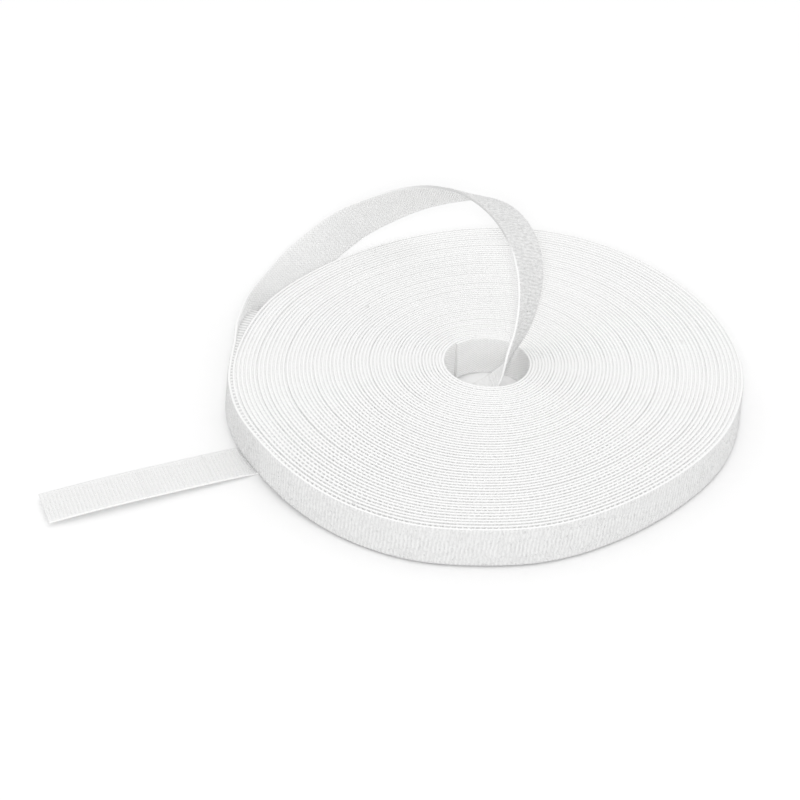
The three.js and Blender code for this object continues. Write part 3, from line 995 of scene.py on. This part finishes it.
free_run = route.between(leaves_roll_at, tail_begins_at + TAIL_CUTS[0])
free_tape = ribbon("free_tape", free_run.even(FINE_STEP), FINE_COLUMNS, finishes=FREE_FINISHES)
tails = []
for k, name in enumerate(("tail_near", "tail_middle", "tail_end")):
    run = route.between(tail_begins_at + TAIL_CUTS[k], tail_begins_at + TAIL_CUTS[k + 1])
    tails.append(ribbon(name, run.even(FINE_STEP), FINE_COLUMNS))
tell([free_tape, *tails])

# %% [markdown]
# ## Hooks and loops
# A hook is a stiff loop cut on one side, so it rises and curls over; the rows curl by turns one way and
# the other. A loop is a finer arch of thread that leans about as it likes. Each is a short tube with
# three sides, copied to its places on the faces that show. Both stop in the bore, as nothing shows under
# the roll, and the hooks begin again just before the tail.

# %% Tufts on the faces
HOOK_SHAPE = [(0.0, -0.1), (0.02, 0.27), (0.14, 0.45), (0.31, 0.33)]
HOOK_RADIUS = 0.13
HOOK_ROW = RIB_PITCH / 2
HOOK_STRAYS_ALONG = 0.07
HOOK_STRAYS_ACROSS = 0.06
HOOK_TWIST = 0.3
HOOK_SIZES = (0.85, 1.15)
LOOP_SHAPE = [(-0.36, -0.05), (-0.2, 0.26), (0.2, 0.28), (0.36, -0.05)]
LOOP_RADIUS = 0.05
LOOPS_PER_MM2 = 1.0
LOOP_STRAYS_ALONG = 0.3
LOOP_TWIST = 0.5
LOOP_SIZES = (0.8, 1.3)
TUFT_INSET = 0.2
TUFT_EDGE = TAPE_WIDTH / 2 - SELVEDGE_WIDTH - TUFT_INSET
TUFT_SIDES = 3
# Which way tufts stand: out of the hook face, or the other way, out of the loop face
HOOK_SIDE, LOOP_SIDE = 1.0, -1.0


def tuft_finish(name, level, roughness):
    return principled(new_material(name), (level, level, level, 1.0), roughness)


HOOK_YARN = tuft_finish("hook_yarn", level=0.97, roughness=0.6)
LOOP_YARN = tuft_finish("loop_yarn", level=0.9, roughness=0.9)


def tufts(name, frames, length, across, heading, size, shape, radius, side, finish):
    """Copies of a small bent tube at places on the tape, each with its heading on the face and its size."""
    known = (frames.at, frames.along, frames.edge, frames.hook_side)
    at, along, edge, hook_side = (at_lengths(length, frames.length, values) for values in known)
    out = side * hook_side
    foot = at + edge * across[:, None] + out * BASE_THICKNESS / 2
    ahead = along * np.cos(heading)[:, None] + edge * np.sin(heading)[:, None]
    beside = np.cross(ahead, out)
    path = np.array(shape)
    way = np.gradient(path, axis=0)
    way /= np.linalg.norm(way, axis=1)[:, None]
    turn = np.radians(np.arange(TUFT_SIDES) * 360.0 / TUFT_SIDES)
    off_ahead = path[:, :1] - radius * np.cos(turn) * way[:, 1:]
    off_out = path[:, 1:] + radius * np.cos(turn) * way[:, :1]
    off_beside = np.broadcast_to(radius * np.sin(turn), off_out.shape)
    points = foot[:, None, None, :] + size[:, None, None, None] * (
        ahead[:, None, None, :] * off_ahead[..., None]
        + out[:, None, None, :] * off_out[..., None]
        + beside[:, None, None, :] * off_beside[..., None]
    )
    starts = np.arange(len(length)) * off_out.size
    one, foot_end, tip_end = tube_faces(len(path), TUFT_SIDES)
    quads = (starts[:, None, None] + one).reshape(-1, 4)
    ends = list(np.concatenate([starts[:, None] + foot_end, starts[:, None] + tip_end]))
    face_finish = np.zeros(len(quads) + len(ends))
    return add_mesh(name, points.reshape(-1, 3), quads, None, [finish], face_finish, ends)


def hooks(name, frames, low, high, seed, tall=1.0):
    dice = np.random.default_rng(seed)
    rows = np.arange(np.ceil(low / HOOK_ROW), np.floor(high / HOOK_ROW) + 1)
    reach = int((TUFT_EDGE - HOOK_COLUMN / 2) / HOOK_COLUMN)
    columns = np.arange(-reach, reach + 1) * HOOK_COLUMN
    row, column = (grid.ravel() for grid in np.meshgrid(rows, columns, indexing="ij"))
    count = len(row)
    length = row * HOOK_ROW + dice.normal(0, HOOK_STRAYS_ALONG, count)
    across = column + (row % 2) * HOOK_COLUMN / 2 + dice.normal(0, HOOK_STRAYS_ACROSS, count)
    heading = np.pi * (row % 2) + dice.normal(0, HOOK_TWIST, count)
    size = tall * dice.uniform(*HOOK_SIZES, count)
    return tufts(name, frames, length, across, heading, size, HOOK_SHAPE, HOOK_RADIUS, HOOK_SIDE, HOOK_YARN)


def loops(name, frames, low, high, seed):
    dice = np.random.default_rng(seed)
    count = int((high - low) * 2 * TUFT_EDGE * LOOPS_PER_MM2)
    row = dice.integers(int(np.ceil(low / RIB_PITCH)), int(high / RIB_PITCH) + 1, count)
    length = row * RIB_PITCH + dice.normal(0, LOOP_STRAYS_ALONG, count)
    across = dice.uniform(-TUFT_EDGE, TUFT_EDGE, count)
    heading = np.pi / 2 + dice.normal(0, LOOP_TWIST, count)
    size = dice.uniform(*LOOP_SIZES, count)
    return tufts(name, frames, length, across, heading, size, LOOP_SHAPE, LOOP_RADIUS, LOOP_SIDE, LOOP_YARN)


# %% Hooks and loops on the roll and the tail
TUFT_MARGIN = 0.5
BORE_HOOKS_FROM = 0.4
BORE_HOOKS_STOP_SHORT = 8.0
BORE_HOOKS_TALL = 0.7
LOOPS_SHOW_TO = 400.0
STRAP_HOOKS_FROM = -12.0
LAST_HOOKS_END = TAIL_LENGTH - 0.6
TAIL_SEED = 40

bore_hooks_end = bore_run.length[-1] - BORE_HOOKS_STOP_SHORT
wrap_end = wrap_run.length[-1]
wrap_middle = wrap_end / 2
free_from = leaves_roll_at + TUFT_MARGIN
strap_hooks_from = tail_begins_at + STRAP_HOOKS_FROM
rolled_tufts = [
    hooks("hooks_bore", bore_run, BORE_HOOKS_FROM, bore_hooks_end, seed=31, tall=BORE_HOOKS_TALL),
    hooks("hooks_free", route, free_from, down_in_bore_at, seed=32),
    loops("loops_wrap_a", wrap_run, TUFT_MARGIN, wrap_middle, seed=33),
    loops("loops_wrap_b", wrap_run, wrap_middle, wrap_end - TUFT_MARGIN, seed=34),
    loops("loops_free", route, free_from, leaves_roll_at + LOOPS_SHOW_TO, seed=35),
    hooks("hooks_strap", route, strap_hooks_from, tail_begins_at + TAIL_CUTS[0], seed=36),
]
tail_tufts = [
    hooks(f"hooks_tail_{k}", route, tail_begins_at + TAIL_CUTS[k], tail_begins_at + end, TAIL_SEED + k)
    for k, end in enumerate((TAIL_CUTS[1], TAIL_CUTS[2], LAST_HOOKS_END))
]
tell([*rolled_tufts, *tail_tufts])

# %% [markdown]
# ## Riding and replacing
# The roll's pieces move with the roll's body of the frame, and the tail's pieces stay where they are made.
# The ribbons named below stand for solids, which they hide.

# %% Bodies and hidden solids
BEND_REACH = 13.0
ROOT_REACH = 4.0

for piece in [*wound, free_tape, *piles, *rolled_tufts]:
    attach(piece, "roll")
for k, piece in [*enumerate(tails), *enumerate(tail_tufts)]:
    reach = (ROOT_REACH if k == 0 else BEND_REACH) * TAIL_WAY
    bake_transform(piece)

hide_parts("inner_turns")
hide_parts("outer_turns")
for stretch in ("lead_off", "arch", "bore_leg", "under_strap"):
    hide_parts(f"{stretch}_hook", f"{stretch}_loop")
for piece, stretch in zip(tails, TAIL_BODIES[1:]):
    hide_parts(f"{stretch}_hook", f"{stretch}_loop")

for piece in [*wound, free_tape, *tails]:
    held = "laid" if piece in tails else "folded"
    piece["tape_length"] * MM
tape = sum(piece["tape_length"] for piece in [*wound, free_tape, *tails])
print("tape in all", round(tape * MM, 2), "m")
